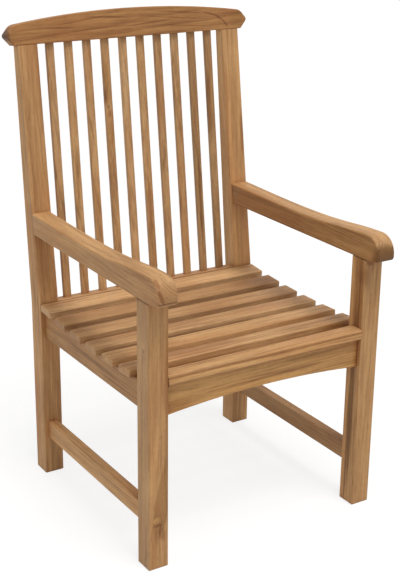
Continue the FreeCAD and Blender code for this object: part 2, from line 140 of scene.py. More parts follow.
# How a board along each axis is turned from one along Z, and the direction of its grain
TURNS = {
    "X": ((0, math.pi / 2, 0), X_AXIS),
    "Y": ((-math.pi / 2, 0, 0), Y_AXIS),
    "Z": ((0, 0, 0), Z_AXIS),
}

# What sets one board's colour apart from the next, as factors on the wood's own
TONES = {
    "plain": (1, 1, 1),
    "pale": (1.25, 1.34, 1.45),
    "bright": (1.12, 1.14, 1.14),
    "honey": (1.06, 1.05, 0.99),
    "tawny": (1.16, 1.12, 1.02),
    "gold": (1.20, 1.12, 0.86),
    "amber": (1.03, 0.97, 0.87),
    "dusky": (0.88, 0.86, 0.83),
    "brown": (0.83, 0.79, 0.73),
    "russet": (0.82, 0.74, 0.60),
    "umber": (0.84, 0.70, 0.51),
    "olive": (0.88, 0.90, 0.88),
}

# The tones of the slats, from the left of the back and from the rear of the seat
SLAT_TONES = {
    "back_slats": (
        "plain", "bright", "bright", "bright", "pale",
        "bright", "plain", "bright", "olive", "olive",
    ),
    "seat_slats": ("pale", "brown", "dusky", "plain", "honey", "bright"),
}

# What else is special about a board: its tone, the pith's place beside it, whether it leans with
# the rear legs, knots by centre, radius and darkness, and other values for the wood's settings
# A board's own strength for the darkening of its edges and joints, partly painted shade, and
# whether its upper edges are dark too, come among the other values
BOARDS = {
    "front_leg_left": dict(
        tone="amber", taper=0.03, ring_strength=0.16, vein_strength=0.1, dirt_and_shade=0.5,
        knots=(((-0.279, -0.294, 0.116), 0.006, 0.15), ((-0.3, -0.274, 0.505), 0.004, 0.35)),
    ),
    "front_leg_right": dict(tone="amber", taper=0.02),
    "rear_leg_left": dict(
        tone="amber", leans=True, taper=0.02, ring_strength=0.2, vein_strength=0.15
    ),
    "rear_leg_right": dict(tone="tawny", leans=True, taper=0.02, streak_strength=0.75),
    "side_seat_rail_left": dict(tone="russet"),
    "side_stretcher_left": dict(tone="tawny"),
    "side_stretcher_right": dict(tone="brown"),
    "front_apron": dict(tone="gold", pith=(-0.05, 0.02)),
    "armrest_left": dict(
        tone="honey", pith=(0.045, -0.05), taper=0.04, ring_strength=0.22, streak_strength=0.75,
        dirt_and_shade=0.45,
    ),
    "armrest_right": dict(
        tone="honey", pith=(-0.05, -0.05), taper=0.04, ring_strength=0.3, streak_strength=0.8
    ),
    "crest_rail": dict(
        tone="umber", pith=(-0.03, 0.16), taper=0.03, ring_spacing=0.008, ring_drift=0.012,
        ring_strength=0.6, end_strength=0.7, upper_edges_dark=1.0, dirt_and_shade=1.5,
    ),
    "back_slats": dict(knots=(((-0.0735, 0.287, 0.882), 0.0045, 0.45),)),
    "seat_slats": dict(end_strength=0.0),
    "front_seat_slat": dict(tone="honey", dirt_and_shade=0.5, end_strength=0.0),
}

# Patches of another tone, some of them painted light and shade: centre, half sizes and factor on
# the colour, and where they aren't as usual, turn, softness and the turn's axis
MARKS = {
    # A cooler outer side, a slanting dark zone, a knot and dark edges, of which the right edge of
    # the front is painted shade
    "front_leg_left": (
        ((-0.3005, -0.27, 0.3), (0.004, 0.1, 0.9), (0.86, 0.9, 0.96), 0, 0.3),
        ((-0.2555, -0.294, 0.195), (0.024, 0.05, 0.15), (0.72, 0.66, 0.56), 0.23, 0.3),
        ((-0.2875, -0.294, 0.25), (0.012, 0.05, 0.12), (1.14, 1.15, 1.14), 0.15),
        ((-0.281, -0.294, 0.119), (0.01, 0.05, 0.009), (1.55, 1.72, 1.8), 0, 0.4),
        ((-0.277, -0.294, 0.106), (0.014, 0.05, 0.0045), (0.6, 0.5, 0.38), -0.1),
        ((-0.268, -0.294, 0.085), (0.01, 0.05, 0.028), (0.7, 0.61, 0.52), -0.25),
        # Painted shade along the right edge of the front
        ((-0.2545, -0.294, 0.43), (0.007, 0.05, 0.24), (0.74, 0.64, 0.5), 0, 0.5),
        ((-0.3, -0.272, 0.49), (0.05, 0.008, 0.03), (0.88, 0.82, 0.84), 0.3, 0.6, "X"),
        ((-0.3, -0.276, 0.515), (0.05, 0.007, 0.014), (1.1, 1.12, 1.14)),
    ),
    # A pale edge and a dark band on the inner side, and shade under the armrest
    "front_leg_right": (
        ((0.252, -0.249, 0.3), (0.03, 0.01, 0.6), (1.2, 1.24, 1.26), 0, 0.4),
        ((0.252, -0.269, 0.23), (0.03, 0.012, 0.24), (0.46, 0.4, 0.24), 0, 0.5),
        ((0.252, -0.2625, 0.05), (0.03, 0.003, 0.09), (0.5, 0.42, 0.32)),
        ((0.252, -0.277, 0.53), (0.02, 0.018, 0.22), (0.68, 0.58, 0.44)),
        ((0.264, -0.296, 0.605), (0.014, 0.03, 0.012), (0.62, 0.52, 0.38)),
        ((0.276, -0.294, 0.555), (0.01, 0.05, 0.05), (1.12, 1.14, 1.14)),
        ((0.256, -0.294, 0.57), (0.007, 0.05, 0.03), (0.82, 0.73, 0.6)),
    ),
    # A pale foot of the inner side, a pale inner edge and a dark mark near the head
    "rear_leg_right": (
        ((0.268, 0.225, 0.52), (0.034, 0.03, 0.1), (1.16, 1.2, 1.2)),
        ((0.252, 0.26, 0.55), (0.012, 0.12, 0.9), (1.16, 1.22, 1.26), 0, 0.2),
        ((0.292, 0.262, 0.78), (0.007, 0.05, 0.07), (0.7, 0.6, 0.5)),
    ),
    # Shade under the front slat and at the right leg, and a pale middle of the arch
    "front_apron": (
        ((0, -0.28, 0.4225), (1.5, 0.05, 0.005), (0.66, 0.56, 0.42)),
        ((0.256, -0.28, 0.39), (0.009, 0.05, 0.08), (0.55, 0.45, 0.34)),
        ((0, -0.28, 0.374), (0.16, 0.05, 0.008), (1.14, 1.14, 1.1)),
        ((-0.22, -0.28, 0.372), (0.05, 0.05, 0.02), (0.84, 0.78, 0.7)),
    ),
    # A cooler outer side with a dark line and a pale one, and dark lines at the nose
    "armrest_left": (
        ((-0.3, -0.05, 0.63), (0.005, 0.6, 0.2), (0.9, 0.86, 0.8), 0, 0.3),
        ((-0.3, -0.27, 0.661), (0.006, 0.06, 0.006), (0.74, 0.63, 0.48), -0.05, 0.7, "X"),
        ((-0.3, 0.05, 0.64), (0.006, 0.1, 0.012), (1.1, 1.12, 1.1)),
        ((-0.276, -0.33, 0.6225), (0.05, 0.03, 0.0025), (0.62, 0.52, 0.42)),
        ((-0.276, -0.325, 0.6165), (0.05, 0.03, 0.0035), (1.18, 1.22, 1.24)),
        ((-0.293, -0.316, 0.66), (0.007, 0.02, 0.013), (0.7, 0.58, 0.46)),
        ((-0.292, -0.333, 0.638), (0.006, 0.012, 0.022), (0.64, 0.52, 0.4), -0.3),
    ),
    # A dark chin of the nose, and painted shade that darkens the inner side, more so along its
    # lower edge
    "armrest_right": (
        ((0.272, -0.342, 0.624), (0.06, 0.038, 0.044), (0.42, 0.34, 0.16)),
        ((0.298, -0.338, 0.616), (0.016, 0.02, 0.014), (0.62, 0.55, 0.44), 0, 0.8),
        ((0.276, -0.336, 0.6165), (0.04, 0.01, 0.004), (0.6, 0.5, 0.36)),
        # Painted shade on the inner side
        ((0.253, -0.05, 0.625), (0.006, 0.5, 0.08), (0.84, 0.77, 0.64), 0, 0.3),
        # Painted shade along the inner side's lower edge
        ((0.253, -0.05, 0.611), (0.006, 0.5, 0.006), (0.72, 0.6, 0.42)),
    ),
    # Long dark lines that follow the arch, a pale right end, and a dark left end that is darker
    # end grain and painted shade
    "crest_rail": (
        ((-0.057, 0.304, 1.0885), (0.08, 0.03, 0.003), (0.6, 0.5, 0.4), 0.06),
        ((-0.192, 0.302, 1.0725), (0.055, 0.03, 0.0028), (0.6, 0.5, 0.4), 0.04),
        ((0.05, 0.302, 1.07), (0.08, 0.03, 0.003), (0.62, 0.52, 0.42), -0.07),
        ((0.215, 0.302, 1.081), (0.022, 0.03, 0.0035), (0.6, 0.5, 0.4), 0.25),
        ((0.24, 0.302, 1.0715), (0.02, 0.03, 0.004), (0.6, 0.5, 0.4), 0.55),
        ((0.259, 0.3, 1.056), (0.017, 0.03, 0.004), (0.6, 0.5, 0.4), 0.85),
        ((0.295, 0.3, 1.064), (0.03, 0.03, 0.024), (0.9, 0.93, 0.8)),
        ((-0.13, 0.304, 1.086), (0.09, 0.03, 0.0022), (0.7, 0.6, 0.48), -0.11),
        ((-0.1, 0.304, 1.065), (0.11, 0.03, 0.002), (0.74, 0.64, 0.52), -0.05),
        ((0.13, 0.304, 1.09), (0.1, 0.03, 0.0024), (0.68, 0.58, 0.46), 0.1),
        ((0.12, 0.304, 1.077), (0.11, 0.03, 0.0022), (0.7, 0.6, 0.48), 0.09),
        ((0.16, 0.304, 1.056), (0.09, 0.03, 0.0022), (0.72, 0.62, 0.5), 0.08),
        # A darker left end, which is end grain and painted shade
        ((-0.3235, 0.3, 1.06), (0.013, 0.05, 0.07), (0.46, 0.46, 0.42), 0, 0.4),
    ),
    # A dark zone at the fourth slat's knot, and dark streaks in other slats
    "back_slats": (
        ((-0.076, 0.292, 0.94), (0.012, 0.03, 0.08), (0.8, 0.73, 0.6)),
        ((-0.079, 0.287, 0.906), (0.006, 0.03, 0.03), (0.68, 0.57, 0.45)),
        ((-0.0725, 0.287, 0.866), (0.007, 0.03, 0.012), (0.72, 0.62, 0.5)),
        ((-0.07, 0.287, 0.82), (0.012, 0.03, 0.04), (0.88, 0.83, 0.72)),
        ((0.208, 0.282, 0.87), (0.007, 0.03, 0.13), (0.6, 0.49, 0.38)),
        ((0.168, 0.254, 0.632), (0.005, 0.04, 0.15), (0.58, 0.47, 0.37)),
        ((0.022, 0.253, 0.62), (0.007, 0.04, 0.11), (0.72, 0.62, 0.53)),
        ((-0.169, 0.268, 0.733), (0.005, 0.04, 0.12), (0.76, 0.68, 0.58)),
        ((0.0607, 0.237, 0.498), (0.007, 0.03, 0.04), (0.74, 0.65, 0.56)),
    ),
    # Darker right ends of the two foremost slats and of the second from the rear
    "seat_slats": (
        ((0.262, -0.217, 0.432), (0.1, 0.012, 0.02), (0.8, 0.7, 0.54)),
        ((0.21, -0.19, 0.438), (0.12, 0.03, 0.02), (0.84, 0.78, 0.64)),
        ((0.24, 0.116, 0.44), (0.1, 0.03, 0.03), (0.84, 0.77, 0.7)),
    ),
    # A dark line along the upper edge, a pale band that is painted light on the front, and a dark
    # lower edge that is painted shade
    "front_seat_slat": (
        ((0, -0.2962, 0.441), (1.5, 0.008, 0.0036), (0.7, 0.61, 0.47)),
        # Painted light on the front
        ((0, -0.2962, 0.4335), (1.5, 0.008, 0.007), (1.28, 1.27, 1.2)),
        # Painted shade along the lower edge, above the apron
        ((0, -0.2962, 0.425), (1.5, 0.008, 0.003), (0.8, 0.71, 0.6)),
    ),
}

# The wood's settings that go into its grain, apart from the colours
GRAIN_SETTINGS = (
    "Ring Spacing", "Ring Drift", "Taper", "Ring Strength", "Streak Strength",
    "Ruddy Strength", "Vein Strength", "Pore Strength", "End Strength",
)


# Sizes and colours that a user would change
def property_of(kind, **usual):
    """Return a function that makes properties of a kind, with their usual settings."""

    def made(label, description, default, **own):
        return kind(name=label, description=description, default=default, **{**usual, **own})

    return made


measure = property_of(FloatProperty)
strength = property_of(FloatProperty, min=0)
length = property_of(FloatProperty, min=0, unit="LENGTH", precision=4)
share = property_of(FloatProperty, min=0, max=1, subtype="FACTOR")
quantity = property_of(IntProperty, min=2)
colour = property_of(FloatVectorProperty, size=3, min=0, max=1, subtype="COLOR")
place = property_of(FloatVectorProperty, size=3, subtype="TRANSLATION")


def angle(label, description, degrees):
    """Return a property for an angle, whose default is given in degrees."""
    return measure(label, description, math.radians(degrees), subtype="ANGLE")


class ArmchairWood(bpy.types.PropertyGroup):
    """Tones and figure of the wood."""

    pale: colour("Pale tone", "Colour of the wood between growth rings", (0.608, 0.352, 0.158))
    deep: colour("Deep tone", "Colour of the growth rings and dark streaks", (0.262, 0.115, 0.037))
    ruddy: colour("Ruddy tone", "Colour of the warmer patches", (0.456, 0.205, 0.072))
    knot: colour("Knot tone", "Colour of a knot's heart", (0.120, 0.046, 0.015))
    ring_spacing: length("Ring spacing", "Distance between two growth rings", 0.0065)
    ring_drift: length("Ring drift", "How far the growth rings wander", 0.016)
    taper: share("Taper", "How much the growth rings widen towards one end", 0.008)
    ring_strength: share("Ring strength", "How dark the growth rings are", 0.34)
    streak_strength: share("Streak strength", "How much the streaks along the grain vary", 1.0)
    ruddy_strength: share("Ruddy strength", "How much the warmer patches show", 0.45)
    vein_strength: share("Vein strength", "How dark the few dark veins are", 0.35)
    pore_strength: share("Pore strength", "How dark the pores are", 0.3)
    end_strength: share("End grain strength", "How much darker the end grain is", 0.2)
    # The next five settings are for the pale and dark edges, partly painted light and shade, and
    # for the painted shade in joints
    joint_shade_strength: share("Joint strength", "How dark the joints are", 0.4)
    soiled_shade_strength: share("Soiling strength", "How dark the side and lower edges are", 0.6)
    worn_highlight_strength: share("Wear strength", "How pale the upper edges are", 0.2)
    edge_width: length("Edge width", "How far wear and dirt reach from an edge", 0.003)
    joint_shade_reach: length("Joint reach", "How far dirt reaches from a joint", 0.014)
    relief: length("Relief", "Depth of the open grain", 0.0003)


class ArmchairSlats(bpy.types.PropertyGroup):
    """Sizes of the slats in the back and the seat."""

    back_count: quantity("Back slats", "Number of slats in the back", 10)
    back_width: length("Back slat width", "Width of a back slat", 0.0185)
    back_thickness: length("Back slat thickness", "Thickness of a back slat", 0.011)
    back_easing: length("Back slat easing", "Radius of a back slat's long edges", 0.0016)
    back_foot_span: length("Span at the foot", "Between the outer slats' feet", 0.43443)
    back_head_span: length("Span at the head", "Between the outer slats' heads", 0.42549)
    back_rear_wall: length("Rear wall", "Wood left behind the slats in the lower rail", 0.002)
    back_rake: angle("Back rake", "Angle at which the back leans", 7.46)
    bend_height: length("Bend height", "Height at which the rear legs bend back", 0.44)
    crest_height: length("Crest height", "Height of the crest rail's lower front edge", 1.0405)
    crest_depth: length("Crest depth", "Depth of the crest rail", 0.028)
    seat_count: quantity("Seat slats", "Number of slats across the seat", 6)
    seat_width: length("Seat slat width", "Width of a seat slat", 0.05)
    seat_thickness: length("Seat slat thickness", "Thickness of a seat slat", 0.017)
    seat_easing: length("Seat slat easing", "Radius of a seat slat's edges", 0.0026)
    seat_front_gap: length("Front gap", "Gap from the front legs to the foremost slat", 0.0315)
    seat_rear_gap: length("Rear gap", "Gap from the rear legs to the rearmost slat", 0.002)
    dish_height: length("Seat height", "Height of the lowest part of the seat's surface", 0.434)
    dish_setback: length("Seat low point", "From the legs' front to the lowest part", 0.255)
    dish_radius: length("Dish radius", "Radius of the curve that the seat slats follow", 2.5)


class ArmchairStage(bpy.types.PropertyGroup):
    """Floor, lamps and camera."""

    floor_colour: colour("Floor colour", "Colour of the floor", (0.6, 0.6, 0.6))
    floor_size: length("Floor size", "Length of each side of the floor", 60.0)
    floor_shade: share("Floor shade", "How much of the floor's shading a camera sees", 0.4)
    floor_glow: share("Floor glow", "How much white a camera sees over the floor", 0.8)
    sky_strength: strength("Sky strength", "Strength of the even light", 0.35)
    key_strength: strength("Key strength", "Strength of the lamp in front", 1.95)
    key_colour: colour("Key colour", "Colour of the lamp in front", (1.0, 0.975, 0.94))
    key_direction: place(
        "Key direction", "Where the light goes", (-0.05, 0.324, -0.946), subtype="DIRECTION"
    )
    key_softness: angle("Key softness", "Width of the lamp in front, as the chair sees it", 25)
    side_power: measure("Side power", "Power of the lamp at the side", 9.5, unit="POWER")
    side_colour: colour("Side colour", "Colour of the lamp at the side", (0.90, 0.98, 1.0))
    side_place: place("Side place", "Place of the lamp at the side", (-2.3, -0.6, 1.1))
    side_size: length("Side size", "Size of the lamp at the side", 1.8)
    camera_place: place("Camera place", "Place of the camera", (-1.4278, -2.2817, 1.4702))
    camera_turn: angle("Camera turn", "Turn of the camera about the upright axis", -32.15)
    camera_tilt: angle("Camera tilt", "How far the camera looks down", 19.93)
    camera_roll: angle("Camera roll", "Turn of the camera about its own view", 0.63)
    camera_lens: measure("Lens", "Focal length", 76.28, min=1, unit="CAMERA")


def wood():
    """Return the wood's settings."""
    return bpy.context.scene.armchair_wood


def slats():
    """Return the slats' sizes."""
    return bpy.context.scene.armchair_slats


def stage():
    """Return the stage's settings."""
    return bpy.context.scene.armchair_stage


# Node trees
def feed(socket, value):
    """Give an input a value, or link another node's output to it."""
    if isinstance(value, bpy.types.NodeSocket):
        socket.id_data.links.new(value, socket)
    else:
        socket.default_value = value


def own_tree(values):
    """Return the node tree of the first socket among some values."""
    return next(value.id_data for value in values if isinstance(value, bpy.types.NodeSocket))


def add(tree, kind, feeds=(), **settings):
    """Add a node, set it, feed its named or counted inputs and return its outputs."""
    node = tree.nodes.new(kind)
    node.location = (NODE_SPACING * len(tree.nodes), 0)
    for name, value in settings.items():
        setattr(node, name, value)
    for key, value in dict(feeds).items():
        feed(node.inputs[key], value)
    return node.outputs


def maths(operation, *values, clamp=False):
    """Return the result of a Math node."""
    feeds, settings = enumerate(values), {"operation": operation, "use_clamp": clamp}
    return add(own_tree(values), "ShaderNodeMath", feeds, **settings)[0]


plus = partial(maths, "ADD")
minus = partial(maths, "SUBTRACT")
times = partial(maths, "MULTIPLY")
over = partial(maths, "DIVIDE")
times_plus = partial(maths, "MULTIPLY_ADD")
larger = partial(maths, "MAXIMUM")


def vectors(operation, *values):
    """Return the result of a Vector Math node."""
    feeds = enumerate(values)
    output = "Value" if operation in ("LENGTH", "DOT_PRODUCT") else "Vector"
    return add(own_tree(values), "ShaderNodeVectorMath", feeds, operation=operation)[output]


def scaled(vector, factor):
    """Return a vector made longer by a factor."""
    feeds = {"Vector": vector, "Scale": factor}
    return add(vector.id_data, "ShaderNodeVectorMath", feeds, operation="SCALE")["Vector"]


def joined(**parts):
    """Return a vector that has the given parts X, Y and Z."""
    return add(own_tree(parts.values()), "ShaderNodeCombineXYZ", parts)[0]


def parts_of(vector):
    """Return the parts X, Y and Z of a vector."""
    return add(vector.id_data, "ShaderNodeSeparateXYZ", {"Vector": vector})


def mixed(*values, blend_type="MIX"):
    """Return two colours mixed by an amount, which comes first."""
    feeds, settings = zip(MIX_INPUTS, values), {"data_type": "RGBA", "blend_type": blend_type}
    return add(own_tree(values), "ShaderNodeMix", feeds, **settings)[MIX_OUTPUT]


def multiplied(first, second):
    """Return a colour multiplied by another."""
    return mixed(1.0, first, second, blend_type="MULTIPLY")


def ranged(value, ends, smooth=False):
    """Return a value moved from two ends to two new ones, and kept within them."""
    feeds = dict(zip(("From Min", "From Max", "To Min", "To Max"), ends), Value=value)
    kind = "SMOOTHSTEP" if smooth else "LINEAR"
    return add(value.id_data, "ShaderNodeMapRange", feeds, interpolation_type=kind)["Result"]


def noise(where, kind, output="Fac"):
    """Return how strong a kind of mark is, drawn out along Z."""
    across, along, detail = FIGURE[kind]
    stretched = vectors("MULTIPLY", where, (across, across, along))
    feeds = {"Vector": stretched, "Scale": 1.0, "Detail": detail}
    return add(where.id_data, "ShaderNodeTexNoise", feeds)[output]


def wander(where, kind, reach):
    """Return a kind of mark as a shift that reaches so far."""
    return scaled(vectors("SUBTRACT", noise(where, kind, "Color"), HALF), reach)


def new_tree(name, kind, inputs, outputs):
    """Return a new tree, its inputs and its outputs, whose sockets are sorted by kind."""
    tree = bpy.data.node_groups.new(name, kind)
    for in_out, sockets in (("INPUT", inputs), ("OUTPUT", outputs)):
        for socket, labels in sockets.items():
            for label in labels:
                tree.interface.new_socket(
                    name=label, in_out=in_out, socket_type="NodeSocket" + socket
                )
    return tree, add(tree, "NodeGroupInput"), tree.nodes.new("NodeGroupOutput").inputs


def draw_grain(tree, given, result):
    """Draw the grain of a board that runs along Z."""
    own, seed = given["Vector"], given["Seed"]
    seeded = vectors("MULTIPLY_ADD", joined(X=seed, Y=seed, Z=seed), SEED_STEP, own)

    # Growth rings are shells about the pith that widen towards one end, each pale first and
    # then darker up to a sharp edge
    drifted = vectors("ADD", own, wander(seeded, "drift", given["Ring Drift"]))
    drifted = vectors("ADD", drifted, wander(seeded, "ripple", RIPPLE_REACH))
    figured = vectors("ADD", drifted, vectors("SUBTRACT", seeded, own))
    from_pith = vectors("SUBTRACT", drifted, given["Pith"])
    radius = vectors("LENGTH", vectors("MULTIPLY", from_pith, ACROSS))
    radius = times_plus(parts_of(drifted)["Z"], given["Taper"], radius)
    age = over(radius, given["Ring Spacing"])
    season = maths("FRACT", age)
    summer = ranged(season, SUMMER_WOOD, smooth=True)
    autumn = ranged(season, AUTUMN_WOOD, smooth=True)
    feeds = {"W": plus(age, seed), "Scale": 0.55, "Detail": 1.0}
    year = add(tree, "ShaderNodeTexNoise", feeds, noise_dimensions="1D")["Fac"]
    ring = maths("MINIMUM", summer, autumn)
    ring = times(ring, ranged(year, YEARLY_CHANGE))

    # End grain shows more of the rings and less of the streaks
    normal = add(tree, "ShaderNodeNewGeometry")["Normal"]
    facing = vectors("DOT_PRODUCT", normal, given["Grain Direction"])
    facing = ranged(maths("ABSOLUTE", facing), END_GRAIN, smooth=True)
    ring_part = times_plus(facing, END_RINGS, 1.0)
    ring_part = times(given["Ring Strength"], ring_part)
    streak_part = times_plus(facing, END_STREAKS, 1.0)
    streak_part = times(given["Streak Strength"], streak_part)

    # Streaks and fibres vary the depth of the tone along the grain
    depth = times_plus(ring, ring_part, GROUND_DEPTH)
    for kind, weight in STREAK_WEIGHTS.items():
        streak = ranged(noise(figured, kind), STREAKS)
        depth = times_plus(streak, times(streak_part, weight), depth)
    fibre = ranged(noise(figured, "fibre"), FIBRES)
    fibre_part = times(streak_part, FIBRE_WEIGHT)
    depth = times_plus(fibre, fibre_part, depth, clamp=True)
    tone = mixed(depth, given["Pale"], given["Deep"])

    # Warmer patches, and then pores, veins and end grain, of which the darkest shows
    warmth = ranged(noise(figured, "warmth"), WARMTH, smooth=True)
    tone = mixed(times(warmth, given["Ruddy Strength"]), tone, given["Ruddy"])
    vein = ranged(noise(figured, "vein"), VEINS, smooth=True)
    pore = ranged(noise(seeded, "pore"), PORES, smooth=True)
    shade = times(pore, given["Pore Strength"])
    shade = larger(shade, times(facing, given["End Strength"]))
    shade = larger(shade, times(vein, given["Vein Strength"]))
    tone = mixed(shade, tone, multiplied(tone, given["Deep"]))
    feed(result["Color"], multiplied(tone, given["Tint"]))
    roughness = times_plus(pore, PORE_ROUGHNESS, ROUGHNESS)
    roughness = times_plus(fibre, FIBRE_ROUGHNESS, roughness)
    feed(result["Roughness"], roughness)
    height = times_plus(fibre, FIBRE_HEIGHT, times(ring, RING_HEIGHT))
    feed(result["Height"], minus(height, pore))


def draw_knot(tree, given, result):
    """Say how far a knot pushes the grain aside, and where its heart is."""
    shaped = vectors("MULTIPLY", given["Away"], KNOT_SHAPE)
    reach = over(vectors("LENGTH", shaped), given["Radius"])
    fade = maths("EXPONENT", times(times(reach, reach), KNOT_FADE))
    feed(result["Push"], times(fade, times(given["Radius"], KNOT_PUSH)))
    feed(result["Heart"], ranged(reach, KNOT_HEART, smooth=True))


def draw_patch(tree, given, result):
    """Draw a ragged patch about the origin, out to a distance of 1."""
    feeds = {"Vector": given["Vector"], "Scale": 2.4, "Detail": 3.0}
    rough = add(tree, "ShaderNodeTexNoise", feeds)["Fac"]
    rough = times(minus(rough, 0.5), RAGGEDNESS)
    reach = plus(vectors("LENGTH", given["Vector"]), rough)
    inner = minus(1.0, given["Softness"])
    feed(result["Mask"], ranged(reach, (inner, 1.0, 1.0, 0.0), smooth=True))


def draw_edges_and_joint_shade(tree, given, result):
    """Find the upper edges, pale from use and painted highlight, the other edges, dark from soil
    and painted shade, and the painted shade in joints.
    """
    normal = add(tree, "ShaderNodeNewGeometry")["Normal"]
    feeds = {"Radius": given["Edge Width"]}
    rounded = add(tree, "ShaderNodeBevel", feeds, samples=EDGE_SAMPLES)["Normal"]
    bend = minus(1.0, vectors("DOT_PRODUCT", rounded, normal))
    feeds = {"Vector": given["Vector"], "Scale": 45.0, "Detail": 3.0}
    broken = add(tree, "ShaderNodeTexNoise", feeds)["Fac"]
    edge = times(ranged(bend, EDGE_BEND), ranged(broken, EDGE_BREAKS))
    # Upper edges turn pale, which is use and painted highlight; the other edges turn dark, which
    # is soil and painted shade
    upward = ranged(parts_of(normal)["Z"], UPWARD)
    upward = minus(upward, given["Weathering"], clamp=True)
    feed(result["Worn"], times(edge, upward))
    feed(result["Soiled"], times(edge, minus(1.0, upward)))
    # Painted shade in the joints, darker where the surface is hemmed in by others close by
    feeds = {"Distance": given["Joint Reach"]}
    open_air = add(tree, "ShaderNodeAmbientOcclusion", feeds, samples=EDGE_SAMPLES)
    feed(result["Joint"], ranged(open_air["AO"], OPENNESS))


# The effects that the woods share: what draws each, its inputs and its outputs
EFFECTS = {
    "Wood Grain": (
        draw_grain,
        {
            "Vector": ("Vector", "Grain Direction", "Pith"),
            "Color": ("Pale", "Deep", "Ruddy", "Tint"),
            "Float": ("Seed", *GRAIN_SETTINGS),
        },
        {"Color": ("Color",), "Float": ("Roughness", "Height")},
    ),
    "Wood Knot": (
        draw_knot, {"Vector": ("Away",), "Float": ("Radius",)}, {"Float": ("Push", "Heart")}
    ),
    "Wood Patch": (
        draw_patch, {"Vector": ("Vector",), "Float": ("Softness",)}, {"Float": ("Mask",)}
    ),
    "Edge Wear": (
        draw_edges_and_joint_shade,
        {"Vector": ("Vector",), "Float": ("Edge Width", "Joint Reach", "Weathering")},
        {"Float": ("Worn", "Soiled", "Joint")},
    ),
}


def effect(name, values):
    """Return what a shared effect, built on first use, makes of some values."""
    if name not in bpy.data.node_groups:
        draw, inputs, outputs = EFFECTS[name]
        draw(*new_tree(name, "ShaderNodeTree", inputs, outputs))
    group = bpy.data.node_groups[name]
    return add(own_tree(values.values()), "ShaderNodeGroup", values, node_tree=group)


def pushed_aside(where, grain_place, heart, centre, radius, darkness):
    """Return where the grain is drawn from and how dark the knots are, with one more knot."""
    away = vectors("SUBTRACT", where, centre)
    knot = effect("Wood Knot", {"Away": away, "Radius": radius})
    aside = scaled(vectors("NORMALIZE", away), knot["Push"])
    heart = larger(heart, times(knot["Heart"], darkness))
    return vectors("ADD", grain_place, aside), heart


def straightened(where):
    """Return places on a rear leg as if it had no bend, for grain that follows the bend."""
    sizes = slats()
    rise = larger(minus(parts_of(where)["Z"], sizes.bend_height), 0.0)
    shift = joined(Y=times(rise, -math.tan(sizes.back_rake)))
    return vectors("ADD", where, shift)


def patched(where, shade, centre, size, factor, turn=0.0, softness=0.6, about="Y"):
    """Return a colour with a patch of another tone on it."""
    turns = tuple(turn if axis == about else 0 for axis in "XYZ")
    feeds = {"Vector": where, "Location": centre, "Rotation": turns, "Scale": size}
    local = add(where.id_data, "ShaderNodeMapping", feeds, vector_type="TEXTURE")["Vector"]
    mask = effect("Wood Patch", {"Vector": local, "Softness": softness})["Mask"]
    return mixed(mask, shade, multiplied(shade, (*factor, 1)))


def worn_and_shaded(where, shade, upper_edges_dark, dirt_and_shade):
    """Return a colour with upper edges paler from use and painted highlight, other edges darker
    from soil and painted shade, and painted shade in joints.
    """
    look = wood()
    reaches = {"Edge Width": look.edge_width, "Joint Reach": look.joint_shade_reach}
    edge_marks = effect("Edge Wear", {"Vector": where, "Weathering": upper_edges_dark, **reaches})
    # Paler upper edges are use and painted highlight; darker other edges are soil and painted
    # shade, and dark joints painted shade
    rubbed_and_lit = times(edge_marks["Worn"], look.worn_highlight_strength)
    soiled_and_shaded = times(edge_marks["Soiled"], look.soiled_shade_strength)
    grime_and_shade = larger(soiled_and_shaded, times(edge_marks["Joint"], look.joint_shade_strength))
    grime_and_shade = times(grime_and_shade, dirt_and_shade, clamp=True)
    shade = mixed(rubbed_and_lit, shade, (*look.pale, 1))
    return mixed(grime_and_shade, shade, multiplied(shade, (*look.ruddy, 1)))


def attribute(tree, name, output):
    """Return what a piece's points store under a name."""
    return add(tree, "ShaderNodeAttribute", attribute_name=name)[output]


def empty_tree(owner):
    """Return the node tree of a material or a world, with nothing in it."""
    owner.use_nodes = True
    owner.node_tree.nodes.clear()
    return owner.node_tree


